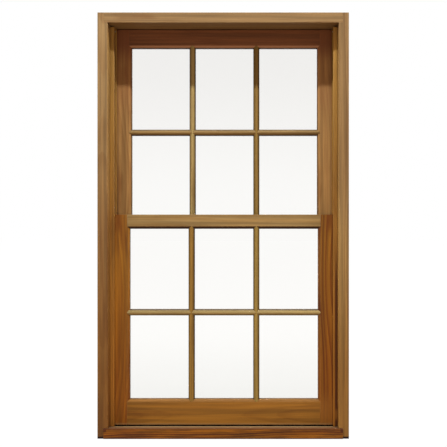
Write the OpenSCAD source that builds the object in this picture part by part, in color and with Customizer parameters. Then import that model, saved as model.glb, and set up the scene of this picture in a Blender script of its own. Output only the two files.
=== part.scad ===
// Double-hung sash window: a solid-jamb softwood frame with two sliding sashes,
// each glazed three panes across and two down. The room side faces -Y.
// Origin: floor level, at the centre of the frame's width and of the sill's depth.

/* [Frame] */
// Overall width of the frame
frame_w = 1000; // [800:10:1400]
// Overall height of the frame
frame_h = 1695; // [1300:5:2200]
// Thickness of the jambs
jamb_t = 40; // [30:1:60]
// Thickness of the head
head_t = 40; // [30:1:60]
// Depth of the housings that hold the ends of head and sill in the jambs
housing = 16; // [8:1:22]

/* [Sill] */
// Height of the sill's room edge
sill_h = 41; // [34:1:60]
// How far the sill stands proud of the jambs on the room side
sill_proud = 5; // [2:1:15]
// How far the sill runs out past the jambs on the outside
sill_nose = 28; // [10:1:60]
// Fall of the sill's top to the outside, in degrees
sill_slope = 5.5; // [2:0.5:6]
// Chamfer on the sill's front top edge
sill_chamfer = 1; // [0.5:0.5:5]
// Width of the drip groove under the nose
drip_w = 6; // [3:1:10]
// Depth of the drip groove
drip_d = 5; // [2:1:8]

/* [Beads] */
// Depth of the reveal from the room face to the staff bead
reveal_d = 52; // [30:1:70]
// Thickness of the staff bead, room to outside
staff_t = 14; // [10:1:20]
// Thickness of the parting bead
parting_t = 8; // [6:1:14]
// Thickness of the outer beads
outer_t = 15; // [10:1:25]
// How far the beads stand out from the jamb
bead_out = 18; // [14:1:24]
// How deep the parting bead is let into the jamb
parting_groove = 10; // [5:1:14]
// Round on the staff bead's front edges
staff_round = 4; // [2:0.5:6]
// Gap left between the staff bead's top end and the head
staff_top_gap = 6; // [1:1:10]

/* [Sashes] */
// Thickness of both sashes
sash_t = 43; // [38:1:50]
// Play between a sash and the beads on each side of it
sash_play = 1; // [0.5:0.5:2]
// Play between a sash's edge and the jamb
edge_play = 2; // [1:0.5:4]
// Full width of the stiles
stile_w = 76; // [60:1:100]
// Height of the upper sash's top rail
top_rail_h = 75; // [50:1:100]
// Gap between the upper sash and the head
head_gap = 2; // [2:1:8]
// Height of the lower sash's meeting rail
lower_meet_h = 58; // [45:1:70]
// Height of the upper sash's meeting rail
upper_meet_h = 53; // [38:1:60]
// Height of the bottom rail
bottom_rail_h = 103; // [70:1:160]
// Least clear height between the sill and the bottom rail's room edge
sill_gap = 5.5; // [4:0.5:12]
// Depth of the check along the bottom rail's room edge
bottom_check = 10; // [6:1:16]
// Gap between the bottom rail and the sill behind the check
seat_gap = 1; // [0.5:0.5:2]

/* [Glazing] */
// Width of the glazing bars
bar_w = 25; // [22:1:40]
// How far the lower sash's cross bar sits above the middle of its panes
lower_bar_rise = 6; // [0:1:10]
// How far the upper sash's cross bar sits below the middle of its panes
upper_bar_drop = 2; // [0:1:10]
// Width of the rounded moulding round every pane
mould_w = 10; // [6:1:10]
// Step between the flat face and the moulding
mould_step = 1.5; // [1:0.5:3]
// Depth of the glass plane from the sash's room face
glass_at = 24; // [16:1:26]
// Thickness of the glass
glass_t = 4; // [3:1:5]
// Width of the rebate that holds the glass
rebate_w = 8.5; // [6:0.5:9]
// Gap between a pane's edge and its rebate
glass_gap = 1.5; // [1:0.5:3]
// Depth of the glazing bead behind the glass
glaze_bead_d = 14; // [8:1:14]

/* [Balances] */
// Outside diameter of a spiral balance's tube
tube_dia = 16; // [12:1:17]
// Wall of the tube
tube_wall = 1; // [0.6:0.2:2]
// Gap between a tube's lower end and the foot bracket of the closed upper sash
tube_foot_gap = 6; // [3:1:30]
// Diameter of the spiral rod
rod_dia = 4.8; // [3:0.2:6]
// Play of the tube in the groove in the stile's edge
groove_play = 1; // [0.5:0.5:2]
// Part of the rod that stays in the tube when the sash is furthest out
rod_hold = 40; // [20:5:80]
// Clear height left above the lower sash at the end of its travel
travel_end = 63; // [40:1:100]

/* [Hidden] */

$fn = 32;

// How far a cutter runs past the face it cuts
over = 1;
// Clearance round screws and between a moving piece and what it clears
screw_clear = 0.1;
run_clear = 0.3;

// Depth of the jambs and head: both sashes with their play, between three beads
frame_d = reveal_d + staff_t + 2 * (sash_t + 2 * sash_play) + parting_t + outer_t;

// Where the main planes lie, as X, Y and Z
front_y = sill_proud - (sill_proud + frame_d + sill_nose) / 2;
jamb_x = frame_w / 2 - jamb_t;
soffit_z = frame_h - head_t;
staff_y = front_y + reveal_d;
lower_y = staff_y + staff_t + sash_play;
parting_y = lower_y + sash_t + sash_play;
upper_y = parting_y + parting_t + sash_play;
outer_y = upper_y + sash_t + sash_play;

// Sill: its room face, its nose and the level of its falling top
sill_front_y = front_y - sill_proud;
sill_back_y = front_y + frame_d + sill_nose;
function sill_top(y) = sill_h - (y - sill_front_y) * tan(sill_slope);

// Sash outline
sash_x = jamb_x - edge_play;
sight_x = sash_x - stile_w;
pane_w = (2 * sight_x - 2 * bar_w) / 3;
bottom_z = ceil(sill_top(lower_y) + sill_gap);
lower_sight_lo = bottom_z + bottom_rail_h;
upper_top_z = soffit_z - head_gap;
upper_sight_hi = upper_top_z - top_rail_h;
// The two sashes have equal panes, which settles the height of the meeting rails
upper_meet_drop = lower_meet_h - upper_meet_h;
meet_z = (upper_sight_hi + lower_sight_lo + lower_meet_h + upper_meet_drop) / 2;
lower_sight_hi = meet_z - lower_meet_h;
upper_sight_lo = meet_z - upper_meet_drop;
sight_h = lower_sight_hi - lower_sight_lo;
travel = soffit_z - meet_z - travel_end;

// The rails meet on a splay across the gap that the parting bead leaves
splay_lo_y = lower_y + sash_t + (parting_t + 2 * sash_play) / 4;
splay_hi_y = upper_y - (parting_t + 2 * sash_play) / 5;
splay_clear = 0.5;
splay_x = jamb_x - bead_out - edge_play;
function splay_y(z) = splay_lo_y + (z - lower_sight_hi) / lower_meet_h * (splay_hi_y - splay_lo_y);

// Rail tenons, let into the stiles and stopping short of the balance groove
tenon_t = 9;
tenon_at = 13;
tenon_haunch = 12;
groove_w = tube_dia + 2 * groove_play;
groove_d = tube_dia;
tenon_x = sash_x - groove_d - 5;

// Balances
tube_x = jamb_x - tube_dia / 2 - screw_clear;
tube_top_z = soffit_z - 5;
tube_plug = 24;
bush_len = 12;
bracket_t = 1.5;
bracket_h = 24;
bracket_foot = 2;
bracket_lift = 6;
bracket_w = groove_w - 4;
bracket_screw_up = 15;

// Level of the foot that a balance rod stands on
function foot_z(sash) = (sash == "upper" ? lower_sight_hi : bottom_z) + bracket_lift;
tube_len = tube_top_z - foot_z("upper") - bracket_h - tube_foot_gap;

// The rod still reaches into its tube with the sash at its lowest
function rod_top(sash) = tube_top_z - tube_len + rod_hold + (sash == "upper" ? travel : 0);

// Screws
screw_r = 2.5;
head_r = 4.6;
sink_h = 3.2;
recess_d = 2;
recess_w = 1;
frame_screw_len = 64;
small_screw_r = 1.7;
small_head_r = 3.4;
small_head_h = 1.6;
small_screw_len = 20;

// Seals
seal_w = 6;
seal_groove = 4;

wood_fine = "#96663a";
wood_frame = "#a5784c";
wood_dark = "#7a4a22";

// ---------------------------------------------------------------- helpers

// Mirrors a right-hand piece to the left
module on_side(side) mirror([side == "left" ? 1 : 0, 0, 0]) children();

// Extrudes an outline drawn in depth and height along X, centred
module along_x(length) rotate([90, 0, 90]) linear_extrude(length, center = true) children();

// Room-side edge round a pane as [distance from sight line, depth from the room face]
arc_steps = 6;
function pane_edge() = concat(
    [[mould_w, 0]],
    [for (i = [0:arc_steps]) let (a = 90 * i / arc_steps)
        [mould_w * (1 - sin(a)), mould_step + mould_w * (1 - cos(a))]],
    [[0, glass_at], [rebate_w, glass_at], [rebate_w, sash_t]]
);

// Outline of a stile or rail of a width w: the pane edge, then its square back edge
function member(w) = concat(pane_edge(), [[w, sash_t], [w, 0]]);

// Outline of a glazing bar: a pane edge on each side of its stem
function bar_outline() = let (e = pane_edge())
    concat(e, [for (i = [len(e) - 1:-1:0]) [bar_w - e[i][0], e[i][1]]]);

// Face of a sash, by its name
function face_y(sash) = sash == "upper" ? upper_y : lower_y;
function sight_lo(sash) = sash == "upper" ? upper_sight_lo : lower_sight_lo;
function sight_hi(sash) = sash == "upper" ? upper_sight_hi : lower_sight_hi;

// Bare moulded stile, right-hand, between two heights
module stile_blank(sash, z0, z1)
    translate([0, 0, z0])
        linear_extrude(z1 - z0)
            polygon([for (p = member(stile_w)) [sight_x + p[0], face_y(sash) + p[1]]]);

// Both stiles run on past the sash, to scribe rails and bars against
module stile_cutters(sash)
    for (side = ["left", "right"])
        on_side(side) stile_blank(sash, sight_lo(sash) - 2 * bottom_rail_h, sight_hi(sash) + 2 * top_rail_h);

// Moulded rail outline: dir is 1 where the pane is below the rail, -1 where it is above
module rail_outline(sash, sight_z, dir, h)
    polygon([for (p = member(h)) [face_y(sash) + p[1], sight_z + dir * p[0]]]);

// Tenon of one rail, running into both stiles
module tenon(sash, z0, z1)
    translate([-tenon_x, face_y(sash) + tenon_at, z0 + tenon_haunch])
        cube([2 * tenon_x, tenon_t, z1 - z0 - 2 * tenon_haunch]);

// ---------------------------------------------------------------- frame

// Countersunk screw along +X from its head at the origin, grown by a clearance
module wood_screw(grow = 0) {
    rotate([0, 90, 0]) {
        cylinder(r1 = head_r + grow, r2 = screw_r + grow, h = sink_h);
        cylinder(r = screw_r + grow, h = frame_screw_len + grow);
    }
}

// Screw with a flat round head along +X, the underside of its head at the origin
module pan_screw(grow = 0) {
    rotate([0, 90, 0]) {
        cylinder(r = small_screw_r + grow, h = small_screw_len + grow);
        translate([0, 0, -small_head_h]) cylinder(r = small_head_r + grow, h = small_head_h);
    }
}

// Depth and height of each screw that holds a jamb to the head or the sill
screw_inset = 40;
frame_screw_at = [
    for (y = [front_y + screw_inset, front_y + frame_d - screw_inset])
        each [[y, soffit_z + head_t / 2], [y, sill_top(y) / 2]]
];

module frame_screw_set(grow = 0)
    for (side = ["left", "right"], at = frame_screw_at)
        on_side(side) translate([frame_w / 2, at[0], at[1]]) mirror([1, 0, 0]) wood_screw(grow);

module frame_screws()
    color("silver")
        difference() {
            frame_screw_set();
            for (side = ["left", "right"], at = frame_screw_at, turn = [0, 90])
                on_side(side)
                    translate([frame_w / 2, at[0], at[1]])
                        rotate([turn, 0, 0]) cube([2 * recess_d, head_r, recess_w], center = true);
        }

module sill_outline()
    polygon([
        [sill_front_y, 0],
        [sill_front_y, sill_h - sill_chamfer],
        [sill_front_y + sill_chamfer, sill_top(sill_front_y + sill_chamfer)],
        [sill_back_y, sill_top(sill_back_y)],
        [sill_back_y, 0]
    ]);

module sill()
    color(wood_dark)
        difference() {
            along_x(2 * (jamb_x + housing)) sill_outline();
            translate([-frame_w / 2, sill_back_y - sill_nose / 2 - drip_w / 2, -over])
                cube([frame_w, drip_w, drip_d + over]);
            frame_screw_set(screw_clear);
        }

module head()
    color(wood_frame)
        difference() {
            translate([-jamb_x - housing, front_y, soffit_z])
                cube([2 * (jamb_x + housing), frame_d, head_t]);
            frame_screw_set(screw_clear);
        }

// Height at which each balance tube is screwed to the jamb
tube_screw_z = tube_top_z - tube_plug / 2;

module tube_screw_set(grow = 0)
    for (side = ["left", "right"], sash = ["upper", "lower"])
        on_side(side)
            translate([tube_x - tube_dia / 2, face_y(sash) + sash_t / 2, tube_screw_z])
                pan_screw(grow);

module jamb(side)
    color(wood_frame)
        difference() {
            on_side(side) translate([jamb_x, front_y, 0]) cube([jamb_t, frame_d, frame_h]);
            on_side(side)
                translate([jamb_x - over, front_y - over, soffit_z])
                    cube([housing + over, frame_d + 2 * over, head_t + over]);
            along_x(2 * (jamb_x + housing)) sill_outline();
            on_side(side)
                translate([jamb_x - over, parting_y, -over])
                    cube([parting_groove + over, parting_t, soffit_z + over]);
            frame_screw_set(screw_clear);
            tube_screw_set(screw_clear);
        }

// Staff bead with its free front edge rounded, scribed to the sill
module staff_bead(side)
    color(wood_frame)
        on_side(side)
            difference() {
                translate([jamb_x - bead_out, staff_y, 0])
                    linear_extrude(soffit_z - staff_top_gap)
                        difference() {
                            square([bead_out, staff_t]);
                            difference() {
                                translate([-over, -over]) square(staff_round + over);
                                translate([staff_round, staff_round]) circle(staff_round);
                            }
                        }
                along_x(3 * frame_w) sill_outline();
            }

module parting_bead(side)
    color(wood_frame)
        on_side(side)
            difference() {
                translate([jamb_x - bead_out, parting_y, 0])
                    cube([bead_out + parting_groove, parting_t, soffit_z]);
                along_x(3 * frame_w) sill_outline();
            }

module outer_bead(side)
    color(wood_frame)
        on_side(side)
            difference() {
                translate([jamb_x - bead_out, outer_y, 0])
                    cube([bead_out, outer_t, soffit_z]);
                along_x(3 * frame_w) sill_outline();
            }

module head_outer_bead()
    color(wood_frame)
        translate([-jamb_x + bead_out, outer_y, soffit_z - bead_out])
            cube([2 * (jamb_x - bead_out), outer_t, bead_out]);

// ---------------------------------------------------------------- balances

module balance_tube(sash, side)
    color("gainsboro")
        on_side(side)
            difference() {
                translate([tube_x, face_y(sash) + sash_t / 2, tube_top_z - tube_len])
                    difference() {
                        cylinder(d = tube_dia, h = tube_len);
                        translate([0, 0, bush_len])
                            cylinder(d = tube_dia - 2 * tube_wall, h = tube_len - tube_plug - bush_len);
                        translate([0, 0, -over])
                            cylinder(d = rod_dia + 2 * run_clear, h = bush_len + 2 * over);
                    }
                tube_screw_set(screw_clear);
            }

module balance_screws() color("silver") tube_screw_set();

module balance_rod(sash, side)
    color("gray")
        on_side(side)
            translate([tube_x, face_y(sash) + sash_t / 2, foot_z(sash) + bracket_foot])
                cylinder(d = rod_dia, h = rod_top(sash) - foot_z(sash) - bracket_foot);

module bracket_screw_at(sash, side, grow = 0)
    on_side(side)
        translate([sash_x - groove_d + bracket_t, face_y(sash) + sash_t / 2, foot_z(sash) + bracket_screw_up])
            mirror([1, 0, 0]) pan_screw(grow);

module foot_bracket(sash, side)
    color("silver")
        difference() {
            on_side(side)
                translate([sash_x - groove_d, face_y(sash) + (sash_t - bracket_w) / 2, foot_z(sash)])
                    union() {
                        cube([bracket_t, bracket_w, bracket_h]);
                        cube([groove_d - run_clear, bracket_w, bracket_foot]);
                    }
            bracket_screw_at(sash, side, screw_clear);
        }

module bracket_screw_pair(sash, grow = 0)
    for (side = ["left", "right"]) bracket_screw_at(sash, side, grow);

module bracket_screws(sash) color("silver") bracket_screw_pair(sash);

// ---------------------------------------------------------------- sashes

// Outline under the lower sash: a check along its room edge, then the fall of the sill
module under_sash()
    polygon([
        [lower_y - over, -over],
        [lower_y - over, bottom_z],
        [lower_y + bottom_check, bottom_z],
        [lower_y + bottom_check, sill_top(lower_y + bottom_check) + seat_gap],
        [lower_y + sash_t + over, sill_top(lower_y + sash_t + over) + seat_gap],
        [lower_y + sash_t + over, -over]
    ]);

module stile(sash, side)
    color(wood_fine)
        difference() {
            on_side(side)
                stile_blank(
                    sash,
                    sash == "upper" ? lower_sight_hi : 0,
                    sash == "upper" ? upper_top_z : meet_z
                );
            on_side(side)
                translate([sash_x - groove_d, face_y(sash) + (sash_t - groove_w) / 2, -over])
                    cube([groove_d + over, groove_w, frame_h]);
            if (sash == "upper") {
                tenon(sash, upper_sight_hi, upper_top_z);
                tenon(sash, lower_sight_hi, upper_sight_lo);
            } else {
                along_x(frame_w) under_sash();
                tenon(sash, bottom_z, lower_sight_lo);
                tenon(sash, lower_sight_hi, meet_z);
            }
            bracket_screw_at(sash, side, screw_clear);
        }

// Length of a rail over the mouldings that its ends are scribed to
rail_len = 2 * (sight_x + mould_w);

module upper_top_rail()
    color(wood_fine)
        difference() {
            union() {
                difference() {
                    along_x(rail_len) rail_outline("upper", upper_sight_hi, 1, top_rail_h);
                    stile_cutters("upper");
                }
                tenon("upper", upper_sight_hi, upper_top_z);
            }
            seal_bar("upper", over);
        }

// Splayed lip on the upper sash's meeting rail, on its room side
module upper_lip()
    along_x(2 * splay_x)
        polygon([
            [upper_y, lower_sight_hi],
            [splay_y(lower_sight_hi) + splay_clear, lower_sight_hi],
            [splay_y(upper_sight_lo - mould_w) + splay_clear, upper_sight_lo - mould_w],
            [upper_y, upper_sight_lo - mould_w]
        ]);

module upper_meeting_rail()
    color(wood_fine)
        difference() {
            union() {
                difference() {
                    along_x(rail_len) rail_outline("upper", upper_sight_lo, -1, upper_meet_h);
                    stile_cutters("upper");
                }
                upper_lip();
                tenon("upper", lower_sight_hi, upper_sight_lo);
            }
            bracket_screw_pair("upper", screw_clear);
        }

// Splayed lip on the lower sash's meeting rail, on its outer side
lip_lo_z = lower_sight_hi + rebate_w;
module lower_lip()
    along_x(2 * splay_x)
        polygon([
            [lower_y + sash_t, lip_lo_z],
            [splay_y(lip_lo_z) - splay_clear, lip_lo_z],
            [splay_y(meet_z) - splay_clear, meet_z],
            [lower_y + sash_t, meet_z]
        ]);

module lower_meeting_rail()
    color(wood_fine)
        union() {
            difference() {
                along_x(rail_len) rail_outline("lower", lower_sight_hi, 1, lower_meet_h);
                stile_cutters("lower");
            }
            lower_lip();
            tenon("lower", lower_sight_hi, meet_z);
        }

module lower_bottom_rail()
    color(wood_fine)
        difference() {
            union() {
                difference() {
                    along_x(rail_len) rail_outline("lower", lower_sight_lo, -1, lower_sight_lo);
                    stile_cutters("lower");
                }
                tenon("lower", bottom_z, lower_sight_lo);
            }
            along_x(frame_w) under_sash();
            seal_bar("lower", over);
            bracket_screw_pair("lower", screw_clear);
        }

// Rails of a sash as plain moulded lengths, to scribe the bars against
module rail_cutters(sash) {
    along_x(frame_w) rail_outline(sash, sight_hi(sash), 1, lower_meet_h);
    along_x(frame_w) rail_outline(sash, sight_lo(sash), -1, upper_meet_h);
}

// Middle height of the cross bar
function cross_z(sash) = sight_lo(sash) + sight_h / 2
    + (sash == "lower" ? lower_bar_rise : -upper_bar_drop);

// Left edge of a bar or pane column
function bar_x(i) = -sight_x + (i + 1) * pane_w + i * bar_w;

module upright_bar_blank(sash, i)
    translate([bar_x(i), face_y(sash), sight_lo(sash) - mould_w])
        linear_extrude(sight_h + 2 * mould_w) polygon(bar_outline());

module cross_bar_blank(sash)
    translate([0, face_y(sash), cross_z(sash) - bar_w / 2])
        along_x(rail_len) polygon([for (p = bar_outline()) [p[1], p[0]]]);

// Stem of the cross bar where it runs through a halving in an upright bar
module halving(sash)
    translate([-sight_x, face_y(sash) + glass_at, cross_z(sash) - bar_w / 2 + rebate_w])
        cube([2 * sight_x, sash_t - glass_at + over, bar_w - 2 * rebate_w]);

module upright_bar(sash, i)
    color(wood_fine)
        difference() {
            upright_bar_blank(sash, i);
            rail_cutters(sash);
            halving(sash);
        }

module cross_bar(sash)
    color(wood_fine)
        difference() {
            cross_bar_blank(sash);
            stile_cutters(sash);
            for (i = [0:1])
                difference() {
                    upright_bar_blank(sash, i);
                    halving(sash);
                }
        }

// Lower left corner and height of a pane's sight opening, counted from the top left
function pane_x(n) = -sight_x + (n % 3) * (pane_w + bar_w);
function pane_z(sash, n) = n < 3 ? cross_z(sash) + bar_w / 2 : sight_lo(sash);
function pane_h(sash, n) = (n < 3 ? sight_hi(sash) : cross_z(sash) - bar_w / 2) - pane_z(sash, n);

module pane(sash, n) {
    grip = rebate_w - glass_gap;
    color("lightcyan", 0.4)
        translate([pane_x(n) - grip, face_y(sash) + glass_at, pane_z(sash, n) - grip])
            cube([pane_w + 2 * grip, glass_t, pane_h(sash, n) + 2 * grip]);
}

// Glazing bead outline as [distance from the sight line into the rebate, depth]
bead_foot = 0.5;
bead_lip = 3;
bead_top = 2.5;
glaze_outline = [
    [rebate_w, 0], [bead_foot, 0], [bead_foot, bead_lip],
    [rebate_w - bead_top, glaze_bead_d], [rebate_w, glaze_bead_d]
];

// One bead of a sight length l along X, mitred at both ends, the pane above it
module glaze_strip(l)
    intersection() {
        along_x(l + 2 * rebate_w) polygon([for (p = glaze_outline) [p[1], -p[0]]]);
        rotate([90, 0, 0])
            linear_extrude(4 * sash_t, center = true)
                polygon([
                    [-l / 2 - rebate_w, -rebate_w], [l / 2 + rebate_w, -rebate_w],
                    [l / 2, 0], [-l / 2, 0]
                ]);
    }

module glazing_beads(sash)
    color(wood_dark)
        for (n = [0:5], turn = [0:3])
            let (h = pane_h(sash, n))
                translate([
                    pane_x(n) + pane_w / 2,
                    face_y(sash) + glass_at + glass_t,
                    pane_z(sash, n) + h / 2
                ])
                    rotate([0, 90 * turn, 0])
                        translate([0, 0, turn % 2 == 0 ? -h / 2 : -pane_w / 2])
                            glaze_strip(turn % 2 == 0 ? pane_w : h);

// Seal strip in the sash's outer rail: dug is the cut past the rail's edge for its groove
seal_y = 20;
seal_x = sight_x - mould_w;
module seal_bar(sash, dug = 0) {
    tall = sash == "upper" ? head_gap - run_clear : seat_gap - run_clear;
    if (sash == "upper")
        translate([-seal_x, upper_y + seal_y, upper_top_z - seal_groove])
            cube([2 * seal_x, seal_w, seal_groove + tall + dug]);
    else
        translate([0, lower_y + seal_y, sill_top(lower_y + seal_y) + seat_gap])
            rotate([-sill_slope, 0, 0])
                translate([-seal_x, 0, -tall - dug])
                    cube([2 * seal_x, seal_w, seal_groove + tall + dug]);
}

module sash_seal(sash) color("dimgray") seal_bar(sash);

// ---------------------------------------------------------------- nodes

jamb("left");  // left_jamb
jamb("right");  // right_jamb
head();
sill();
staff_bead("left");  // left_staff_bead
staff_bead("right");  // right_staff_bead
parting_bead("left");  // left_parting_bead
parting_bead("right");  // right_parting_bead
outer_bead("left");  // left_outer_bead
outer_bead("right");  // right_outer_bead
head_outer_bead();
frame_screws();
balance_tube("upper", "left");  // upper_left_balance_tube
balance_tube("upper", "right");  // upper_right_balance_tube
balance_tube("lower", "left");  // lower_left_balance_tube
balance_tube("lower", "right");  // lower_right_balance_tube
balance_screws();
stile("upper", "left");  // upper_left_stile
stile("upper", "right");  // upper_right_stile
upper_top_rail();
upper_meeting_rail();
upright_bar("upper", 0);  // upper_left_bar
upright_bar("upper", 1);  // upper_right_bar
cross_bar("upper");  // upper_cross_bar
pane("upper", 0);  // upper_pane_1
pane("upper", 1);  // upper_pane_2
pane("upper", 2);  // upper_pane_3
pane("upper", 3);  // upper_pane_4
pane("upper", 4);  // upper_pane_5
pane("upper", 5);  // upper_pane_6
glazing_beads("upper");  // upper_glazing_beads
balance_rod("upper", "left");  // upper_left_balance_rod
balance_rod("upper", "right");  // upper_right_balance_rod
foot_bracket("upper", "left");  // upper_left_foot_bracket
foot_bracket("upper", "right");  // upper_right_foot_bracket
bracket_screws("upper");  // upper_bracket_screws
sash_seal("upper");  // upper_sash_seal
stile("lower", "left");  // lower_left_stile
stile("lower", "right");  // lower_right_stile
lower_meeting_rail();
lower_bottom_rail();
upright_bar("lower", 0);  // lower_left_bar
upright_bar("lower", 1);  // lower_right_bar
cross_bar("lower");  // lower_cross_bar
pane("lower", 0);  // lower_pane_1
pane("lower", 1);  // lower_pane_2
pane("lower", 2);  // lower_pane_3
pane("lower", 3);  // lower_pane_4
pane("lower", 4);  // lower_pane_5
pane("lower", 5);  // lower_pane_6
glazing_beads("lower");  // lower_glazing_beads
balance_rod("lower", "left");  // lower_left_balance_rod
balance_rod("lower", "right");  // lower_right_balance_rod
foot_bracket("lower", "left");  // lower_left_foot_bracket
foot_bracket("lower", "right");  // lower_right_foot_bracket
bracket_screws("lower");  // lower_bracket_screws
sash_seal("lower");  // lower_sash_seal
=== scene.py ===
import math
import random

import bmesh
import bpy
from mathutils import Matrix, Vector


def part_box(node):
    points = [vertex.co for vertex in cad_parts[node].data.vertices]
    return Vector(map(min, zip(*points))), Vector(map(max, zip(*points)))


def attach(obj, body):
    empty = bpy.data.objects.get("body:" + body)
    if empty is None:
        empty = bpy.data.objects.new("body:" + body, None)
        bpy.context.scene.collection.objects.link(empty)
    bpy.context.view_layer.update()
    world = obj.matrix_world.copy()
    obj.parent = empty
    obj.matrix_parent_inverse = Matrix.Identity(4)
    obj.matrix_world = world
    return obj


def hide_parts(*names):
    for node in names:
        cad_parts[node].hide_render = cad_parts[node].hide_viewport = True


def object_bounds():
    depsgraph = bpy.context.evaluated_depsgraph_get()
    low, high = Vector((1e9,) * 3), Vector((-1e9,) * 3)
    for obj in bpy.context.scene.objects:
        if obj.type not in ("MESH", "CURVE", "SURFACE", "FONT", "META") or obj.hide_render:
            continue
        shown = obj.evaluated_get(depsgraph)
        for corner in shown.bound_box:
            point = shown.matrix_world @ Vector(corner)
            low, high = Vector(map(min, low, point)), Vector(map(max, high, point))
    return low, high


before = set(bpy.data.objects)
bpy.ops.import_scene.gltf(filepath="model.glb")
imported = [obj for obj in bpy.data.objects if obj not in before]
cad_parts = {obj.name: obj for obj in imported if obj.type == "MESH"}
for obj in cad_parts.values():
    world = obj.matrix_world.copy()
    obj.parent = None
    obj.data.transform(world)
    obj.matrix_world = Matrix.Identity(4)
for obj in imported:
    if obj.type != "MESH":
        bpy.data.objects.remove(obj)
cad_lo, cad_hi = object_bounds()


# ---------------------------------------------------------------------------
# Jambs and head
# Three planed softwood boards 40 mm thick that make the open box of the window. The head is
# housed between the jambs and screwed through them. Stained golden brown, satin varnished,
# with a near-black band at the jamb feet where they stand below the sill, and painted light
# on the reveals below the head.
# ---------------------------------------------------------------------------
def add_node(tree, kind, feeds=(), **settings):
    """One shader node with its settings chosen and its inputs fed by name or number."""
    made = tree.nodes.new("ShaderNode" + kind)
    for setting, value in settings.items():
        setattr(made, setting, value)
    for socket, source in dict(feeds).items():
        if isinstance(source, bpy.types.NodeSocket):
            tree.links.new(source, made.inputs[socket])
        else:
            made.inputs[socket].default_value = source
    return made


def maths(tree, operation, *terms):
    """The result of one Math node on its terms."""
    return add_node(tree, "Math", enumerate(terms), operation=operation).outputs[0]


def spread(tree, value, low, high, start=0.0, end=1.0):
    """Value carried smoothly from low..high onto start..end and held beyond them."""
    feeds = {"Value": value, "From Min": low, "From Max": high, "To Min": start, "To Max": end}
    return add_node(tree, "MapRange", feeds, interpolation_type="SMOOTHSTEP").outputs[0]


def all_of(tree, *masks):
    """Several masks multiplied together."""
    product = masks[0]
    for mask in masks[1:]:
        product = maths(tree, "MULTIPLY", product, mask)
    return product


def mix_colour(tree, factor, under, over, way="MIX"):
    """Two colours mixed by a factor."""
    feeds = {0: factor, 6: under, 7: over}
    return add_node(tree, "Mix", feeds, data_type="RGBA", blend_type=way).outputs[2]


def tinted(tree, colour, tint, factor=1.0):
    """A colour multiplied by a tint, as far as the factor says."""
    return mix_colour(tree, factor, colour, tint, "MULTIPLY")


def grey(tree, value):
    """A grey as bright as the value."""
    return add_node(tree, "CombineColor", {0: value, 1: value, 2: value}).outputs[0]


def rest_place(tree):
    """Where the surface lies while both sashes are shut, in metres, as one vector."""
    return add_node(tree, "TexCoord").outputs["Object"]


def rest_xyz(tree):
    """The same place as three values, X, Y and Z."""
    return add_node(tree, "SeparateXYZ", {0: rest_place(tree)}).outputs


def new_material(name):
    """A new material, its node tree and its shader."""
    material = bpy.data.materials.new(name)
    material.use_nodes = True
    return material, material.node_tree, material.node_tree.nodes["Principled BSDF"]


def raise_surface(tree, shader, height, strength, distance):
    """Fine relief on the shader's surface, from a height value."""
    relief = add_node(tree, "Bump", {"Strength": strength, "Distance": distance, "Height": height})
    tree.links.new(relief.outputs[0], shader.inputs["Normal"])


def stretched_noise(tree, place, per_metre, detail=2.0, seed=0.0):
    """Noise with its own fineness along each axis of a board, as a value near 0.5."""
    shifted = add_node(tree, "VectorMath", {0: place, 1: (seed, seed, seed)}, operation="ADD")
    sized = add_node(
        tree, "VectorMath", {0: shifted.outputs[0], 1: per_metre}, operation="MULTIPLY"
    )
    feeds = {"Vector": sized.outputs[0], "Scale": 1.0, "Detail": detail}
    return add_node(tree, "TexNoise", feeds).outputs[0]


def new_group(name, inputs, outputs):
    """A node group with named number inputs and named outputs, and its two end nodes."""
    group = bpy.data.node_groups.new(name, "ShaderNodeTree")
    for label, default in inputs.items():
        socket = group.interface.new_socket(label, in_out="INPUT", socket_type="NodeSocketFloat")
        socket.default_value = default
    for label in outputs:
        group.interface.new_socket(label, in_out="OUTPUT", socket_type="NodeSocketFloat")
    return group, group.nodes.new("NodeGroupInput"), group.nodes.new("NodeGroupOutput")


def use_group(tree, group, **values):
    """The group placed in a material, with this material's own numbers on its inputs."""
    placed = add_node(tree, "Group", node_tree=group)
    for label, value in values.items():
        placed.inputs[label.replace("_", " ").title()].default_value = value
    return placed


# How many fit in a metre, twice across the board and once along it
streaks_per_metre = (85.0, 85.0, 1.7)
fibres_per_metre = (520.0, 520.0, 9.0)
blotches_per_metre = (16.0, 16.0, 3.0)
pores_per_metre = (1700.0, 1700.0, 60.0)


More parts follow.
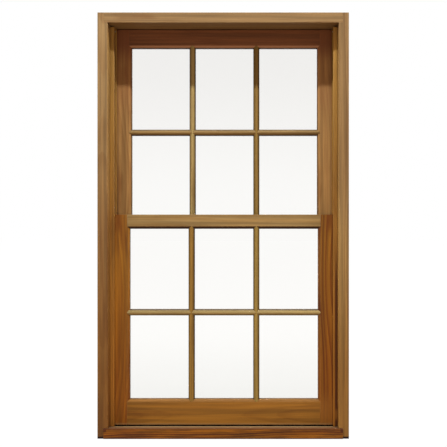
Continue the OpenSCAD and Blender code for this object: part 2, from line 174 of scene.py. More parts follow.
def make_grain_group():
    """Softwood grain in a board's own log coordinates: x and y from the pith, z along the stem."""
    outputs = ("Latewood", "Band", "Streak", "Fibre", "Blotch", "Pore", "Height")
    inputs = {"Ring Width": 0.005, "Wander": 0.012, "Drift": 0.03}
    group, given, result = new_group("softwood grain", inputs, outputs)
    board = add_node(group, "Attribute", attribute_name="board").outputs["Vector"]

    swirl = add_node(group, "VectorMath", {0: board, 1: (5.0, 5.0, 0.8)}, operation="MULTIPLY")
    swirl = add_node(group, "TexNoise", {"Vector": swirl.outputs[0], "Scale": 1.0, "Detail": 2.0})
    lean = add_node(
        group, "VectorMath", {0: swirl.outputs["Color"], 1: (0.5, 0.5, 0.5)}, operation="SUBTRACT"
    )
    lean = add_node(
        group, "VectorMath", {0: lean.outputs[0], "Scale": given.outputs["Wander"]}, operation="SCALE"
    )
    grown = add_node(group, "VectorMath", {0: board, 1: lean.outputs[0]}, operation="ADD")
    across, deep, along = add_node(group, "SeparateXYZ", {0: grown.outputs[0]}).outputs
    deep_squared = maths(group, "MULTIPLY", deep, deep)
    from_pith = maths(group, "SQRT", maths(group, "MULTIPLY_ADD", across, across, deep_squared))
    stem = add_node(
        group, "TexNoise", {"W": maths(group, "MULTIPLY", along, 0.9), "Scale": 1.0, "Detail": 1.0},
        noise_dimensions="1D",
    ).outputs[0]
    from_pith = maths(group, "MULTIPLY_ADD", stem, given.outputs["Drift"], from_pith)
    year = maths(group, "DIVIDE", from_pith, given.outputs["Ring Width"])
    lean_years = add_node(
        group, "TexNoise", {"W": maths(group, "MULTIPLY", year, 0.37), "Scale": 1.0, "Detail": 1.0},
        noise_dimensions="1D",
    ).outputs[0]
    year = maths(group, "MULTIPLY_ADD", lean_years, 1.6, year)
    season = maths(group, "FRACT", year)
    rise = spread(group, season, 0.2, 0.86)
    fall = spread(group, season, 0.92, 1.0, 1.0, 0.0)
    late = maths(group, "MULTIPLY", rise, fall)

    band = add_node(
        group, "TexNoise", {"W": maths(group, "MULTIPLY", year, 0.23), "Scale": 1.0, "Detail": 2.0},
        noise_dimensions="1D",
    ).outputs[0]
    streak = stretched_noise(group, board, streaks_per_metre, 3.0, 3.1)
    fibre = stretched_noise(group, board, fibres_per_metre, 3.0, 7.7)
    blotch = stretched_noise(group, board, blotches_per_metre, 3.0, 1.9)
    speck = stretched_noise(group, board, pores_per_metre, 1.0, 5.3)
    pore = spread(group, speck, 0.66, 0.74)

    relief = maths(group, "MULTIPLY", late, 0.5)
    relief = maths(group, "MULTIPLY_ADD", fibre, 0.9, relief)
    relief = maths(group, "MULTIPLY_ADD", pore, -0.6, relief)
    for label, value in zip(outputs, (late, band, streak, fibre, blotch, pore, relief)):
        group.links.new(value, result.inputs[label])
    return group


def make_wear_and_shade_group():
    """Where hands, brushes and damp reach: worn arrises and thirsty end grain; also painted shade in
    corners.
    """
    inputs = {"Corner Reach": 0.012, "Patch Size": 0.02}
    outputs = ("Arris", "End Grain", "Corner", "Tone", "Head Height")
    group, given, result = new_group("handling, weather and corner shade", inputs, outputs)
    place = rest_place(group)
    finish = add_node(group, "Attribute", attribute_name="finish").outputs["Vector"]
    arris, end_grain, tone = add_node(group, "SeparateXYZ", {0: finish}).outputs
    patch = maths(group, "DIVIDE", 1.0, given.outputs["Patch Size"])
    patchy = add_node(group, "TexNoise", {"Vector": place, "Scale": patch, "Detail": 3.0}).outputs[0]
    rubbed = maths(group, "MULTIPLY", arris, spread(group, patchy, 0.3, 0.6, 0.25, 1.0))
    open_air = add_node(
        group, "AmbientOcclusion", {"Distance": given.outputs["Corner Reach"]}, samples=8
    ).outputs["AO"]
    # Painted shade: the less open air around a point, the darker its corner mask
    corner = spread(group, open_air, 0.25, 0.8, 1.0, 0.0)
    height = add_node(group, "SeparateXYZ", {0: place}).outputs[2]
    high = spread(group, height, 0.0, cad_hi.z)
    for label, value in zip(outputs, (rubbed, end_grain, corner, tone, high)):
        group.links.new(value, result.inputs[label])
    return group


GRAIN = make_grain_group()
WEAR_AND_SHADE = make_wear_and_shade_group()


def stain(red, green, blue):
    """A colour from its screen values, 0 to 255, as the linear colour a shader takes: a stain, or
    a painted light or shade.
    """
    return tuple((level / 255.0) ** 2.2 for level in (red, green, blue)) + (1.0,)


pale_end_tint = (1.30, 1.36, 1.46, 1.0)
dark_end_tint = (0.72, 0.68, 0.60, 1.0)
# Painted shade: how far the corners and recesses are darkened
corner_shade_tint = (0.42, 0.34, 0.28, 1.0)


def stained_timber(name, foot, head, figure, resin, worn, grain, local_stain_and_shade=None):
    """A stained and varnished timber. foot and head are its ground colours low down and high
    up, figure how much darker its latewood is, resin the colour of its dark streaks, worn its
    rubbed arrises. grain sets the growth rings, and the last argument changes the colour in
    places, with stain and with painted light and shade."""
    material, tree, shader = new_material(name)
    wood = use_group(tree, GRAIN, **grain).outputs
    use = use_group(tree, WEAR_AND_SHADE).outputs

    ground = mix_colour(tree, use["Head Height"], foot, head)
    dark_end = tinted(tree, ground, dark_end_tint)
    pale_end = tinted(tree, ground, pale_end_tint)
    ground = mix_colour(tree, use["Tone"], dark_end, pale_end)
    banded = spread(tree, wood["Band"], 0.35, 0.7, 0.35, 1.0)
    ringed = all_of(tree, wood["Latewood"], banded, figure)
    colour = mix_colour(tree, ringed, ground, resin)
    dark_band = spread(tree, wood["Band"], 0.52, 0.72, 0.0, 0.45 * figure)
    colour = mix_colour(tree, dark_band, colour, resin)
    colour = mix_colour(tree, spread(tree, wood["Blotch"], 0.52, 0.75, 0.0, 0.55), colour, resin)
    streaky = spread(tree, wood["Streak"], 0.3, 0.7, 0.74, 1.22)
    fibrous = spread(tree, wood["Fibre"], 0.3, 0.7, 0.9, 1.08)
    pored = spread(tree, wood["Pore"], 0.0, 1.0, 1.0, 0.72)
    colour = tinted(tree, colour, grey(tree, all_of(tree, streaky, fibrous, pored)))
    colour = mix_colour(tree, maths(tree, "MULTIPLY", use["Arris"], 0.5), colour, worn)
    colour = mix_colour(tree, maths(tree, "MULTIPLY", use["End Grain"], 0.55), colour, resin)
    if local_stain_and_shade:
        colour = local_stain_and_shade(tree, colour)
    # Painted shade in corners and recesses
    colour = mix_colour(tree, use["Corner"], colour, tinted(tree, colour, corner_shade_tint))
    tree.links.new(colour, shader.inputs["Base Color"])

    sheen = spread(tree, wood["Latewood"], 0.0, 1.0, 0.62, 0.54)
    sheen = maths(tree, "MULTIPLY_ADD", use["End Grain"], 0.25, sheen)
    sheen = maths(tree, "MULTIPLY_ADD", wood["Pore"], 0.15, sheen)
    tree.links.new(sheen, shader.inputs["Roughness"])
    raise_surface(tree, shader, wood["Height"], 0.35, 0.0006)
    shader.inputs["Specular IOR Level"].default_value = 0.3
    return material


end_grain_facing = 0.9
weld_distance = 1e-6
flat_within = math.radians(1)
sharp_bend = math.radians(35)
smooth_below = math.radians(40)
easing_steps = 2
shortest_eased = 6  # as many times the width of the easing


def lay_out_board(shape, arris_faces, run, tone, name):
    """Give every face corner its place in the log it was sawn from, and how it is finished.
    Each board keeps its own pith and start, drawn from its name."""
    chance = random.Random(name)
    pith = Vector((chance.uniform(-0.05, 0.05), chance.choice((-1, 1)) * chance.uniform(0.05, 0.12)))
    start = chance.uniform(2.0, 40.0)
    middle = sum((vert.co for vert in shape.verts), Vector()) / len(shape.verts)
    low_end = min(vert.co.z for vert in shape.verts)
    height = max(vert.co.z for vert in shape.verts) - low_end
    board = shape.loops.layers.float_vector.new("board")
    finish = shape.loops.layers.float_vector.new("finish")
    for face in shape.faces:
        axis = run
        if run is None:
            longest = max(face.edges, key=lambda edge: edge.calc_length())
            step = longest.verts[0].co - longest.verts[1].co
            axis = 0 if abs(step.x) > abs(step.z) else 2
        end_grain = 1.0 if abs(face.normal[axis]) > end_grain_facing else 0.0
        arris = 1.0 if face in arris_faces else 0.0
        for corner in face.loops:
            from_middle = corner.vert.co - middle
            across = from_middle[2 - axis] + pith.x
            deep = from_middle.y + pith.y
            corner[board] = (across, deep, corner.vert.co[axis] + start)
            rise = (corner.vert.co.z - low_end) / height
            corner[finish] = (arris, end_grain, tone[0] + (tone[1] - tone[0]) * rise)


def dress_timber(node, body, material, run=2, tone=(0.5, 0.5), arris=0.0008):
    """A planed CAD piece with its sharp arrises taken off, in its own timber, on its body.
    run is the axis its grain follows, or None for a mitred ring. tone is how pale the board is
    at its lower and upper end, 0 to 1. arris is the width of the easing."""
    shape = bmesh.new()
    shape.from_mesh(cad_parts[node].data)
    bmesh.ops.remove_doubles(shape, verts=shape.verts, dist=weld_distance)
    bmesh.ops.dissolve_limit(
        shape, angle_limit=flat_within, verts=shape.verts, edges=shape.edges
    )
    long_arrises = [
        edge for edge in shape.edges
        if len(edge.link_faces) == 2
        and edge.calc_face_angle(0.0) > sharp_bend
        and edge.calc_length() > shortest_eased * arris
        and edge.is_convex
    ]
    eased = bmesh.ops.bevel(
        shape, geom=long_arrises, offset=arris, offset_type="OFFSET", segments=easing_steps,
        profile=0.5, affect="EDGES", clamp_overlap=False,
    )
    shape.normal_update()
    lay_out_board(shape, set(eased["faces"]), run, tone, node)
    mesh = bpy.data.meshes.new(node + "_dressed")
    shape.to_mesh(mesh)
    shape.free()
    mesh.shade_smooth()
    mesh.set_sharp_from_angle(angle=smooth_below)
    mesh.materials.append(material)
    piece = bpy.data.objects.new(node + "_dressed", mesh)
    bpy.context.scene.collection.objects.link(piece)
    piece.modifiers.new("flat faces stay flat", "WEIGHTED_NORMAL").keep_sharp = True
    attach(piece, body)
    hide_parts(node)


jamb_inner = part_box("right_jamb")[0].x
near_jamb = (jamb_inner - 0.010, jamb_inner - 0.005)
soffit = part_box("head")[0].z
staff_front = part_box("right_staff_bead")[0].y
# Heights between which the lower coat of stain gives way to the upper one
lower_coat = (0.72, 1.20)
patches_per_metre = (70.0, 20.0, 3.0)
deep_coat_tint = (0.82, 0.76, 0.72, 1.0)
thin_coat_tint = (1.38, 1.58, 1.80, 1.0)
# Painted light that lifts the reveals between the jamb face and the staff bead
painted_reveal_light = (1.55, 1.50, 1.10, 1.0)


def uneven_stain_and_lit_reveals(tree, colour):
    """A deeper, patchy coat on the lower left jamb, a thinner one on the lower right, painted
    light on the reveals below the head, and a near-black band along the feet."""
    x, y, z = rest_xyz(tree)
    low = spread(tree, z, *lower_coat, 1.0, 0.0)
    on_left = spread(tree, maths(tree, "MULTIPLY", x, -1.0), *near_jamb)
    left = all_of(tree, low, on_left, spread(tree, z, 0.25, 0.70, 1.0, 0.65))
    patchy = stretched_noise(tree, rest_place(tree), patches_per_metre, 3.0, 9.1)
    patch = all_of(tree, left, spread(tree, patchy, 0.45, 0.62, 0.0, 0.6))
    colour = mix_colour(tree, patch, colour, stain(96, 60, 28))
    on_right = spread(tree, x, *near_jamb)
    right = all_of(tree, low, on_right, spread(tree, z, 0.25, 0.60, 0.3, 1.0))
    colour = tinted(tree, colour, deep_coat_tint, left)
    colour = tinted(tree, colour, thin_coat_tint, right)

    width = maths(tree, "ABSOLUTE", x)
    # Painted light: the reveals are lifted below the head
    lit_reveal = all_of(
        tree,
        spread(tree, width, jamb_inner + 0.0002, jamb_inner + 0.0010, 1.0, 0.0),
        spread(tree, width, jamb_inner - 0.005, jamb_inner - 0.001),
        spread(tree, y, staff_front - 0.001, staff_front, 1.0, 0.0),
        spread(tree, z, soffit - 0.055, soffit, 1.0, 0.0),
    )
    colour = tinted(tree, colour, painted_reveal_light, lit_reveal)
    # A near-black band along the feet, up to 10 mm high
    dark_foot_band = spread(tree, z, 0.0075, 0.0100, 1.0, 0.0)
    return mix_colour(tree, dark_foot_band, colour, stain(30, 8, 4))


frame_grain = {"ring_width": 0.0055, "wander": 0.014, "drift": 0.035}
frame_timber = stained_timber(
    "frame_timber", stain(124, 88, 41), stain(135, 110, 73), 0.45, stain(98, 60, 26),
    stain(158, 126, 86), frame_grain, uneven_stain_and_lit_reveals,
)
dress_timber("left_jamb", "root", frame_timber, tone=(0.45, 0.62))
dress_timber("right_jamb", "root", frame_timber, tone=(0.55, 0.45))
dress_timber("head", "root", frame_timber, run=0)


# ---------------------------------------------------------------------------
# Sill
# One hardwood board that falls to the outside, with a drip groove below, housed between the
# jambs and screwed through them. Its stain is darker and redder than the frame's, and the top
# has weathered paler. Painted shade darkens it under the lower sash.
# ---------------------------------------------------------------------------
lower_face, lower_back = (corner.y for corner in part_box("lower_left_stile"))
figure_per_metre = (10.0, 60.0, 85.0)


def damp_and_shaded_sill(tree, colour):
    """A wild figure, a weathered top, darker lines along both edges of the face, darker low down
    near both ends, and painted shade, near black, on the strip under the sash."""
    x, y, z = rest_xyz(tree)
    wild = stretched_noise(tree, rest_place(tree), figure_per_metre, 2.0, 4.4)
    colour = tinted(tree, colour, grey(tree, spread(tree, wild, 0.35, 0.65, 0.72, 1.26)))
    facing = add_node(tree, "SeparateXYZ", {0: add_node(tree, "NewGeometry").outputs["Normal"]})
    top = spread(tree, facing.outputs["Z"], 0.75, 0.95, 0.0, 0.85)
    colour = mix_colour(tree, top, colour, stain(131, 111, 80))
    # Painted shade: near black on the strip of sill under the lower sash
    shade_under_sash = all_of(
        tree,
        spread(tree, y, lower_face + 0.001, lower_face + 0.003),
        spread(tree, y, lower_back + 0.003, lower_back + 0.011, 1.0, 0.0),
    )
    colour = mix_colour(tree, shade_under_sash, colour, stain(26, 6, 2))
    width = maths(tree, "ABSOLUTE", x)
    corner = all_of(
        tree,
        spread(tree, width, jamb_inner + 0.003, jamb_inner + 0.007),
        spread(tree, z, 0.025, 0.029, 0.0, 0.75),
    )
    colour = mix_colour(tree, corner, colour, stain(58, 20, 6))
    top_edge = spread(tree, z, 0.0365, 0.0380, 0.0, 0.75)
    colour = mix_colour(tree, top_edge, colour, stain(84, 40, 4))
    bottom_edge = spread(tree, z, 0.003, 0.006, 0.7, 0.0)
    return mix_colour(tree, bottom_edge, colour, stain(66, 34, 6))


sill_grain = {"ring_width": 0.008, "wander": 0.02, "drift": 0.06}
sill_timber = stained_timber(
    "sill_timber", stain(134, 84, 12), stain(134, 84, 12), 1.0, stain(74, 32, 0),
    stain(136, 92, 46), sill_grain, damp_and_shaded_sill,
)
dress_timber("sill", "root", sill_timber, run=0)


# ---------------------------------------------------------------------------
# Staff, parting and outer beads
# Thin planed softwood strips nailed to the jambs and head. They make the two tracks that the
# sashes slide in. The right staff bead is darker along its outer half, low down.
# ---------------------------------------------------------------------------
less_dark_height = 0.085


def darker_outer_run(tree, colour):
    """The outer half of the right staff bead darker from about the meeting rail down, less dark
    at one place near its foot."""
    x, _, z = rest_xyz(tree)
    outer_half = spread(tree, x, jamb_inner - 0.0115, jamb_inner - 0.0100)
    below = spread(tree, z, 0.60, 0.85, 1.0, 0.0)
    from_less_dark = maths(tree, "ABSOLUTE", maths(tree, "SUBTRACT", z, less_dark_height))
    less_dark = spread(tree, from_less_dark, 0.01, 0.03, 0.4, 1.0)
    dark_run = all_of(tree, outer_half, below, less_dark, 0.85)
    return mix_colour(tree, dark_run, colour, stain(66, 28, 4))


bead_timber = stained_timber(
    "bead_timber", stain(154, 100, 34), stain(160, 124, 62), 0.35, stain(104, 64, 24),
    stain(158, 118, 68), frame_grain, darker_outer_run,
)
for bead in ("staff_bead", "parting_bead", "outer_bead"):
    for side in ("left", "right"):
        dress_timber(f"{side}_{bead}", "root", bead_timber, arris=0.0005)
dress_timber("head_outer_bead", "root", bead_timber, run=0, arris=0.0005)


# ---------------------------------------------------------------------------
# Sash timber
# Two stiles and two rails to each sash, tenoned and glued, with a stuck moulding round the
# glass. The lower sash takes more light and hands, and its stain is deeper and more orange.
# ---------------------------------------------------------------------------
glass_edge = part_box("upper_pane_3")[1].x
rebate_depth = 0.0235
room_edge = 0.040
# Painted shade, near black, for the foot of the lower sash behind its face
check_shade = stain(34, 12, 4)


def shade_in_moulding(sash, shallow=0.006, deep=0.0105, strength=0.7, tint=stain(92, 66, 28)):
    """Painted shade on the steep part of the moulding, where it meets the glass of this sash.
    shallow and deep are how far behind the sash's face it starts and is full."""
    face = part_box(sash + "_left_stile")[0].y

    def paint_moulding_shade(tree, colour):
        x, y, _ = rest_xyz(tree)
        depth = maths(tree, "SUBTRACT", y, face)
        width = maths(tree, "ABSOLUTE", x)
        steep_shade = all_of(
            tree,
            spread(tree, depth, shallow, deep),
            spread(tree, depth, rebate_depth, rebate_depth + 0.001, strength, 0.0),
            spread(tree, width, glass_edge + 0.004, glass_edge + 0.006, 1.0, 0.0),
        )
        return mix_colour(tree, steep_shade, colour, tint)

    return paint_moulding_shade


def shade_upper_stile_heads(tree, colour):
    """Painted shade in the moulding, and painted shade over the head of the upper stiles, where
    the frame head's shadow falls, fading lower down.
    """
    colour = shade_in_moulding("upper", 0.002, 0.006, 0.75, stain(92, 68, 36))(tree, colour)
    z = rest_xyz(tree)["Z"]
    # Painted shade: the frame head's shadow deepened over the stile heads
    head_shade = spread(tree, z, 1.500, 1.600, 0.0, 0.85)
    colour = mix_colour(tree, head_shade, colour, stain(108, 64, 40))
    head_shade_fringe = spread(tree, z, 1.28, 1.40, 0.0, 0.25)
    return mix_colour(tree, head_shade_fringe, colour, stain(130, 78, 50))


def soak_and_shade_lower_sash(tree, colour):
    """Painted shade in the moulding, the paler foot of the right stile, the redder top ends of
    both, the bottom rail wiped thin along its lower edge, and painted shade, near black, on the
    foot of the rail behind its face."""
    colour = shade_in_moulding("lower")(tree, colour)
    x, y, z = rest_xyz(tree)
    foot = all_of(tree, spread(tree, z, 0.10, 0.20, 0.65, 0.0), spread(tree, x, 0.387, 0.390))
    colour = mix_colour(tree, foot, colour, stain(140, 92, 34))
    on_stile = spread(tree, maths(tree, "ABSOLUTE", x), 0.400, 0.425)
    soaked = all_of(tree, spread(tree, z, 0.79, 0.86), on_stile, 0.7)
    colour = mix_colour(tree, soaked, colour, stain(106, 56, 14))
    wiped = spread(tree, z, room_edge + 0.004, room_edge + 0.010, 0.5, 0.0)
    colour = mix_colour(tree, wiped, colour, stain(140, 108, 72))
    # Painted shade: near black on the rail's foot behind its face
    shaded_check = all_of(
        tree,
        spread(tree, z, room_edge + 0.0002, room_edge + 0.0009, 1.0, 0.0),
        spread(tree, y, lower_face + 0.0002, lower_face + 0.0010),
    )
    return mix_colour(tree, shaded_check, colour, check_shade)


# Lifts the top rail's outside face, so its painted shade stays on the room side
outside_tint = (2.0, 2.9, 2.3, 1.0)


def top_rail_light_and_shade(tree, colour):
    """Painted light on the top rail's moulding, the outside face lifted clear of the top rail's
    painted shade to match the rest of the sash, and painted shade along the glass."""
    depth = maths(tree, "SUBTRACT", rest_xyz(tree)["Y"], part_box("upper_top_rail")[0].y)
    # Painted light on the moulding under the top rail
    pale = all_of(
        tree,
        spread(tree, depth, 0.0008, 0.0018),
        spread(tree, depth, 0.005, 0.007, 0.8, 0.0),
    )
    colour = mix_colour(tree, pale, colour, stain(168, 124, 92))
    colour = tinted(tree, colour, outside_tint, spread(tree, depth, 0.022, 0.030))
    return shade_in_moulding("upper", 0.0050, 0.0080, 0.95, stain(64, 34, 16))(tree, colour)


sash_grain = {"ring_width": 0.006, "wander": 0.016, "drift": 0.04}
# Ground low down, ground high up, strength of figure, resin, and the stain and painted shade it takes
# in places
sash_palettes = {
    "upper": (stain(160, 122, 70), stain(162, 124, 75), 0.5, stain(112, 68, 32), shade_upper_stile_heads),
    "lower": (stain(138, 83, 16), stain(162, 122, 46), 0.9, stain(92, 42, 4), soak_and_shade_lower_sash),
}
# The top rail's ground is darkened as painted shade from the frame head
shaded_top_rail_timber = stained_timber(
    "shaded_top_rail_timber", stain(113, 73, 46), stain(113, 73, 46), 0.3, stain(90, 50, 24),
    stain(150, 112, 78), sash_grain, top_rail_light_and_shade,
)
meeting_rail_timber = stained_timber(
    "meeting_rail_timber", stain(144, 119, 75), stain(144, 119, 75), 0.4, stain(122, 88, 42),
    # Painted shade, near black, along the moulding under the meeting rail
    stain(160, 134, 98), sash_grain, shade_in_moulding("lower", 0.0008, 0.0020, 0.95, stain(44, 20, 4)),
)
bottom_rail_timber = stained_timber(
    "bottom_rail_timber", stain(136, 92, 32), stain(136, 92, 32), 0.4, stain(108, 66, 18),
    stain(150, 114, 64), sash_grain, soak_and_shade_lower_sash,
)
sash_timbers = {
    sash: stained_timber(
        sash + "_sash_timber", foot, head, figure, resin, stain(170, 132, 84), sash_grain, stain_and_shade
    )
    for sash, (foot, head, figure, resin, stain_and_shade) in sash_palettes.items()
}
sash_rails = {
    "upper": {"top_rail": shaded_top_rail_timber, "meeting_rail": sash_timbers["upper"]},
    "lower": {"meeting_rail": meeting_rail_timber, "bottom_rail": bottom_rail_timber},
}
# How pale each stile is at its lower and upper end
stile_tones = {
    "upper": {"left": (0.42, 0.48), "right": (0.6, 0.65)},
    "lower": {"left": (0.47, 0.68), "right": (0.5, 0.15)},
}
for sash in ("upper", "lower"):
    body, slot = sash + "_sash", sash + "_sash_wood"
    for side, tone in stile_tones[sash].items():
        dress_timber(f"{sash}_{side}_stile", body, sash_timbers[sash], tone=tone)
    for rail, timber in sash_rails[sash].items():
        dress_timber(f"{sash}_{rail}", body, timber, run=0)


# ---------------------------------------------------------------------------
# Glazing bars
# Slender moulded bars, tenoned into the rails and stiles and scribed to each other, that hold
# six panes in each sash. Sawn from paler, straighter stuff, so they show more olive.
# ---------------------------------------------------------------------------
bar_grain = {"ring_width": 0.004, "wander": 0.006, "drift": 0.01}
bar_stains = {
    "upper_left_bar": stain(154, 134, 84),
    "upper_right_bar": stain(122, 98, 48),
    "upper_cross_bar": stain(145, 119, 72),
    "lower_left_bar": stain(139, 107, 48),
    "lower_right_bar": stain(142, 118, 60),
    "lower_cross_bar": stain(168, 148, 96),
}
for bar, pale in bar_stains.items():
    sash = bar.split("_")[0]
    bar_timber = stained_timber(
        bar + "_timber", pale, pale, 0.25, stain(104, 76, 32), stain(146, 118, 72), bar_grain,
        # Painted shade on the steep sides of each bar's moulding
        shade_in_moulding(sash, 0.0020, 0.0045, 0.9, stain(62, 42, 12)),
    )
    run = 0 if "cross" in bar else 2
    dress_timber(bar, sash + "_sash", bar_timber, run, arris=0.0004)


# ---------------------------------------------------------------------------
# Panes
# Twelve sheets of clear float glass 4 mm thick, bedded in the sash rebates. They are greyed a
# little towards the head as a painted reflection, and are greyer towards the sill.
# ---------------------------------------------------------------------------
clear = (0.965, 0.968, 0.955, 1.0)
# Painted reflection: the grey the panes take towards the head
reflection_grey_head = (0.885, 0.88, 0.865, 1.0)
greyer_foot = (0.88, 0.886, 0.866, 1.0)


def make_glass():
    """Clear glass greyed towards the head by a painted reflection and greyer towards the foot,
    with faint smears and a slight draw.
    """
    material, tree, shader = new_material("pane_glass")
    shader.inputs["Transmission Weight"].default_value = 1.0
    shader.inputs["IOR"].default_value = 1.5
    z = rest_xyz(tree)["Z"]
    # Painted reflection greys the panes towards the head; they are greyer towards the foot
    colour = mix_colour(tree, spread(tree, z, 0.9, 1.6), clear, reflection_grey_head)
    colour = mix_colour(tree, spread(tree, z, 0.12, 0.5, 1.0, 0.0), colour, greyer_foot)
    tree.links.new(colour, shader.inputs["Base Color"])
    place = rest_place(tree)
    smear = add_node(tree, "TexNoise", {"Vector": place, "Scale": 9.0, "Detail": 4.0}).outputs[0]
    tree.links.new(spread(tree, smear, 0.4, 0.8, 0.0, 0.03), shader.inputs["Roughness"])
    draw = add_node(tree, "TexNoise", {"Vector": place, "Scale": 3.0, "Detail": 0.0}).outputs[0]
    raise_surface(tree, shader, draw, 0.05, 0.002)
    return material


def finish_cad_node(node, material):
    """A CAD piece whose shape is right keeps it and takes this material."""
    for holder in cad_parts[node].material_slots:
        holder.material = material


glass = make_glass()
for sash in ("upper", "lower"):
    for count in range(1, 7):
        finish_cad_node(f"{sash}_pane_{count}", glass)


# ---------------------------------------------------------------------------
# Glazing beads
# Mitred softwood strips pinned behind each pane from the outside face. They are stained with
# the sashes and weather a little greyer.
# ---------------------------------------------------------------------------
glazing_bead_timber = stained_timber(
    "glazing_bead_timber", stain(138, 94, 46), stain(140, 104, 60), 0.3, stain(98, 60, 28),
    stain(170, 138, 96), bar_grain,
)
for sash in ("upper", "lower"):
    dress_timber(
        f"{sash}_glazing_beads", sash + "_sash", glazing_bead_timber, None,
        arris=0.0004,
    )


# ---------------------------------------------------------------------------
# Balance rods
# Bright steel strip twisted into a long screw. Each rod stands on a sash's foot bracket and
# turns a bush inside its tube as the sash slides, so a spring carries the sash.
# ---------------------------------------------------------------------------
strip_thickness = 0.0016
twist_pitch = 0.036
steps_per_turn = 16
corners = 4


def twisted_strip(node):
    """A flat strip twisted about its own upright axis, filling its CAD rod from end to end."""
    lo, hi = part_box(node)
    middle = (lo + hi) / 2
    half_wide = (hi.x - lo.x) / 2
    half_thick = strip_thickness / 2
    corner_reach = math.hypot(half_wide, half_thick)
    half_wide *= half_wide / corner_reach
    rings = max(2, round((hi.z - lo.z) / twist_pitch * steps_per_turn))
    section = [
        (half_wide, half_thick), (-half_wide, half_thick),
        (-half_wide, -half_thick), (half_wide, -half_thick),
    ]
    verts = []
    for ring in range(rings + 1):
        z = lo.z + (hi.z - lo.z) * ring / rings
        turn = math.tau * (z - lo.z) / twist_pitch
        for u, v in section:
            x = u * math.cos(turn) - v * math.sin(turn)
            y = u * math.sin(turn) + v * math.cos(turn)
            verts.append((middle.x + x, middle.y + y, z))
    lower_end = tuple(reversed(range(corners)))
    upper_end = tuple(corners * rings + corner for corner in range(corners))
    faces = [lower_end, upper_end]
    for ring in range(rings):
        for corner in range(corners):
            here = corners * ring + corner
            beside = corners * ring + (corner + 1) % corners
            faces.append((here, beside, beside + corners, here + corners))
    mesh = bpy.data.meshes.new(node + "_strip")
    mesh.from_pydata(verts, [], faces)
    mesh.shade_smooth()
    mesh.set_sharp_from_angle(angle=math.radians(50))
    piece = bpy.data.objects.new(node + "_strip", mesh)
    bpy.context.scene.collection.objects.link(piece)
    return piece


def make_wear_group():
    """Fine rubbing marks and dulled patches on bare and plated metal."""
    inputs = {"Fineness": 400.0, "Patch Size": 0.02}
    group, given, result = new_group("metal wear", inputs, ("Dull", "Scratch"))
    place = rest_place(group)
    patch = maths(group, "DIVIDE", 1.0, given.outputs["Patch Size"])
    cloud = add_node(group, "TexNoise", {"Vector": place, "Scale": patch, "Detail": 4.0}).outputs[0]
    drawn = add_node(group, "VectorMath", {0: place, 1: (1.0, 1.0, 0.05)}, operation="MULTIPLY")
    feeds = {"Vector": drawn.outputs[0], "Scale": given.outputs["Fineness"], "Detail": 2.0}
    lines = add_node(group, "TexNoise", feeds).outputs[0]
    group.links.new(spread(group, cloud, 0.35, 0.65), result.inputs["Dull"])
    group.links.new(spread(group, lines, 0.45, 0.7), result.inputs["Scratch"])
    return group


METAL_WEAR = make_wear_group()


def metal_finish(name, bright, dull, roughness, fineness, patch_size):
    """A bare or plated metal: bright where it is rubbed, dull in patches, finely lined."""
    material, tree, shader = new_material(name)
    shader.inputs["Metallic"].default_value = 1.0
    wear = use_group(tree, METAL_WEAR, fineness=fineness, patch_size=patch_size).outputs
    tree.links.new(mix_colour(tree, wear["Dull"], bright, dull), shader.inputs["Base Color"])
    rough = spread(tree, wear["Dull"], 0.0, 1.0, roughness, roughness + 0.15)
    tree.links.new(rough, shader.inputs["Roughness"])
    raise_surface(tree, shader, wear["Scratch"], 0.2, 0.0001)
    return material


bright_steel = (0.62, 0.61, 0.59, 1.0)
dull_steel = (0.42, 0.40, 0.37, 1.0)
rod_steel = metal_finish("rod_steel", bright_steel, dull_steel, 0.22, 900.0, 0.03)
for sash in ("upper", "lower"):
    for side in ("left", "right"):
        rod_node = f"{sash}_{side}_balance_rod"
        rod = twisted_strip(rod_node)
        rod.data.materials.append(rod_steel)
        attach(rod, sash + "_sash")
        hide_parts(rod_node)


# ---------------------------------------------------------------------------
# Balance tubes
# Drawn aluminium tubes, enamelled brown to suit the stained timber. Each hangs from a screw at
# the top of a jamb, in the groove in the stile's edge, and holds a balance spring.
# ---------------------------------------------------------------------------
def make_tube_enamel():
    """Baked brown enamel, duller in patches, with faint drawing lines under it."""
    material, tree, shader = new_material("tube_enamel")
    wear = use_group(tree, METAL_WEAR, fineness=700.0, patch_size=0.04).outputs
    colour = mix_colour(tree, wear["Dull"], stain(96, 62, 34), stain(80, 50, 28))
    tree.links.new(colour, shader.inputs["Base Color"])
    tree.links.new(spread(tree, wear["Dull"], 0.0, 1.0, 0.38, 0.55), shader.inputs["Roughness"])
    raise_surface(tree, shader, wear["Scratch"], 0.1, 0.0001)
    return material


tube_enamel = make_tube_enamel()
for sash in ("upper", "lower"):
    for side in ("left", "right"):
        finish_cad_node(f"{sash}_{side}_balance_tube", tube_enamel)


# ---------------------------------------------------------------------------
# Foot brackets and screws
# Folded zinc-plated steel angles under the stiles that carry the rods, and the zinc-plated
# cross-head screws that hold them, the tubes and the frame joints.
# ---------------------------------------------------------------------------
bright_zinc = (0.64, 0.62, 0.57, 1.0)
dull_zinc = (0.46, 0.45, 0.42, 1.0)
zinc = metal_finish("zinc_plate", bright_zinc, dull_zinc, 0.34, 250.0, 0.006)
finish_cad_node("frame_screws", zinc)
finish_cad_node("balance_screws", zinc)
for sash in ("upper", "lower"):
    finish_cad_node(sash + "_bracket_screws", zinc)
    for side in ("left", "right"):
        finish_cad_node(f"{sash}_{side}_foot_bracket", zinc)


# ---------------------------------------------------------------------------
# Sash seals
# Black rubber strips pushed into grooves in the lower sash's bottom edge and the upper sash's
# top edge. They close the gap on the sill and the head.
# ---------------------------------------------------------------------------
clean_rubber = (0.012, 0.012, 0.012, 1.0)
chalky_rubber = (0.05, 0.048, 0.045, 1.0)


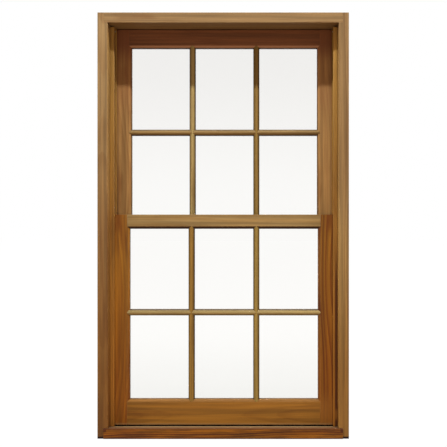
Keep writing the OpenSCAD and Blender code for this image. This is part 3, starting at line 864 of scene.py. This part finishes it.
def make_rubber():
    """Black rubber with a chalky bloom in patches."""
    material, tree, shader = new_material("seal_rubber")
    place = rest_place(tree)
    chalk = add_node(tree, "TexNoise", {"Vector": place, "Scale": 60.0, "Detail": 4.0}).outputs[0]
    colour = mix_colour(tree, spread(tree, chalk, 0.4, 0.75), clean_rubber, chalky_rubber)
    tree.links.new(colour, shader.inputs["Base Color"])
    tree.links.new(spread(tree, chalk, 0.3, 0.7, 0.55, 0.8), shader.inputs["Roughness"])
    grit = add_node(tree, "TexNoise", {"Vector": place, "Scale": 1500.0, "Detail": 2.0}).outputs[0]
    raise_surface(tree, shader, grit, 0.2, 0.0002)
    return material


rubber = make_rubber()
for sash in ("upper", "lower"):
    finish_cad_node(sash + "_sash_seal", rubber)


# ---------------------------------------------------------------------------
# Floor, light and camera
# A plain white floor and surround, one long high strip light in front of the window, a soft
# even fill, and a weaker soft light behind.
# ---------------------------------------------------------------------------
floor_radius = 40.0
fill_above = (0.22, 0.20, 0.19, 1.0)
fill_below = (0.86, 0.62, 0.45, 1.0)
white = (1.0, 1.0, 1.0, 1.0)
nearly_black = (0.02, 0.02, 0.02, 1.0)


def seen_directly(tree):
    """1 for what the camera sees, straight or through a pane, and 0 for light on the object."""
    path = add_node(tree, "LightPath").outputs
    direct = maths(tree, "MAXIMUM", path["Is Camera Ray"], path["Is Transmission Ray"])
    first = maths(tree, "LESS_THAN", path["Diffuse Depth"], 0.5)
    return maths(tree, "MULTIPLY", direct, first)


def lay_floor():
    """A white floor that takes no part in the light on the object."""
    bpy.ops.mesh.primitive_circle_add(vertices=96, radius=floor_radius, fill_type="NGON")
    floor = bpy.context.object
    floor.name = "studio_floor"
    floor.visible_diffuse = False
    floor.visible_glossy = False
    material, tree, shader = new_material("studio_floor")
    shader.inputs["Base Color"].default_value = nearly_black
    shader.inputs["Roughness"].default_value = 0.9
    shader.inputs["Specular IOR Level"].default_value = 0.0
    shader.inputs["Emission Color"].default_value = white
    tree.links.new(seen_directly(tree), shader.inputs["Emission Strength"])
    floor.data.materials.append(material)


def light_surround():
    """White to the eye, but a low fill on the object, warmer and stronger from below."""
    world = bpy.data.worlds.new("studio")
    bpy.context.scene.world = world
    world.use_nodes = True
    tree = world.node_tree
    direction = add_node(tree, "TexCoord").outputs["Generated"]
    upward = add_node(tree, "SeparateXYZ", {0: direction}).outputs[2]
    fill = mix_colour(tree, spread(tree, upward, -0.1, 0.4), fill_below, fill_above)
    colour = mix_colour(tree, seen_directly(tree), fill, white)
    tree.links.new(colour, tree.nodes["Background"].inputs["Color"])


def hang_light(name, place, aim, size, power, colour=(1.0, 1.0, 1.0)):
    """A rectangular soft light at place, facing aim."""
    lamp = bpy.data.lights.new(name, "AREA")
    lamp.shape = "RECTANGLE"
    lamp.size, lamp.size_y = size
    lamp.energy = power
    lamp.color = colour
    holder = bpy.data.objects.new(name, lamp)
    holder.location = place
    holder.rotation_euler = (Vector(aim) - Vector(place)).to_track_quat("-Z", "Y").to_euler()
    holder.visible_camera = False
    holder.visible_transmission = False
    bpy.context.scene.collection.objects.link(holder)


lay_floor()
light_surround()
mid_window = (0.0, 0.0, 0.9)
strip_forward = 3.0
# How far the light falls for each metre it comes forward
strip_drop = 1.97
# Height at the window's face where the head's shadow ends
shade_line = 1.62
strip_place = (0.0, cad_lo.y - strip_forward, shade_line + strip_drop * strip_forward)
strip_size = (16.0, 0.22)
strip_white = (1.0, 0.985, 0.96)
hang_light("front_strip", strip_place, mid_window, strip_size, 1450.0, strip_white)
hang_light("back_softbox", (0.0, 3.2, 2.6), mid_window, (4.0, 3.0), 120.0)

camera_data = bpy.data.cameras.new("camera")
camera_data.sensor_width = 36.0
camera_data.lens = 69.65
camera_data.shift_x = -0.0783
camera = bpy.data.objects.new("camera", camera_data)
camera.location = (0.1404, -3.539, 0.8557)
camera.rotation_euler = (math.radians(90.0), 0.0, 0.0)
bpy.context.scene.collection.objects.link(camera)
bpy.context.scene.camera = camera
bpy.context.scene.view_settings.view_transform = "Standard"
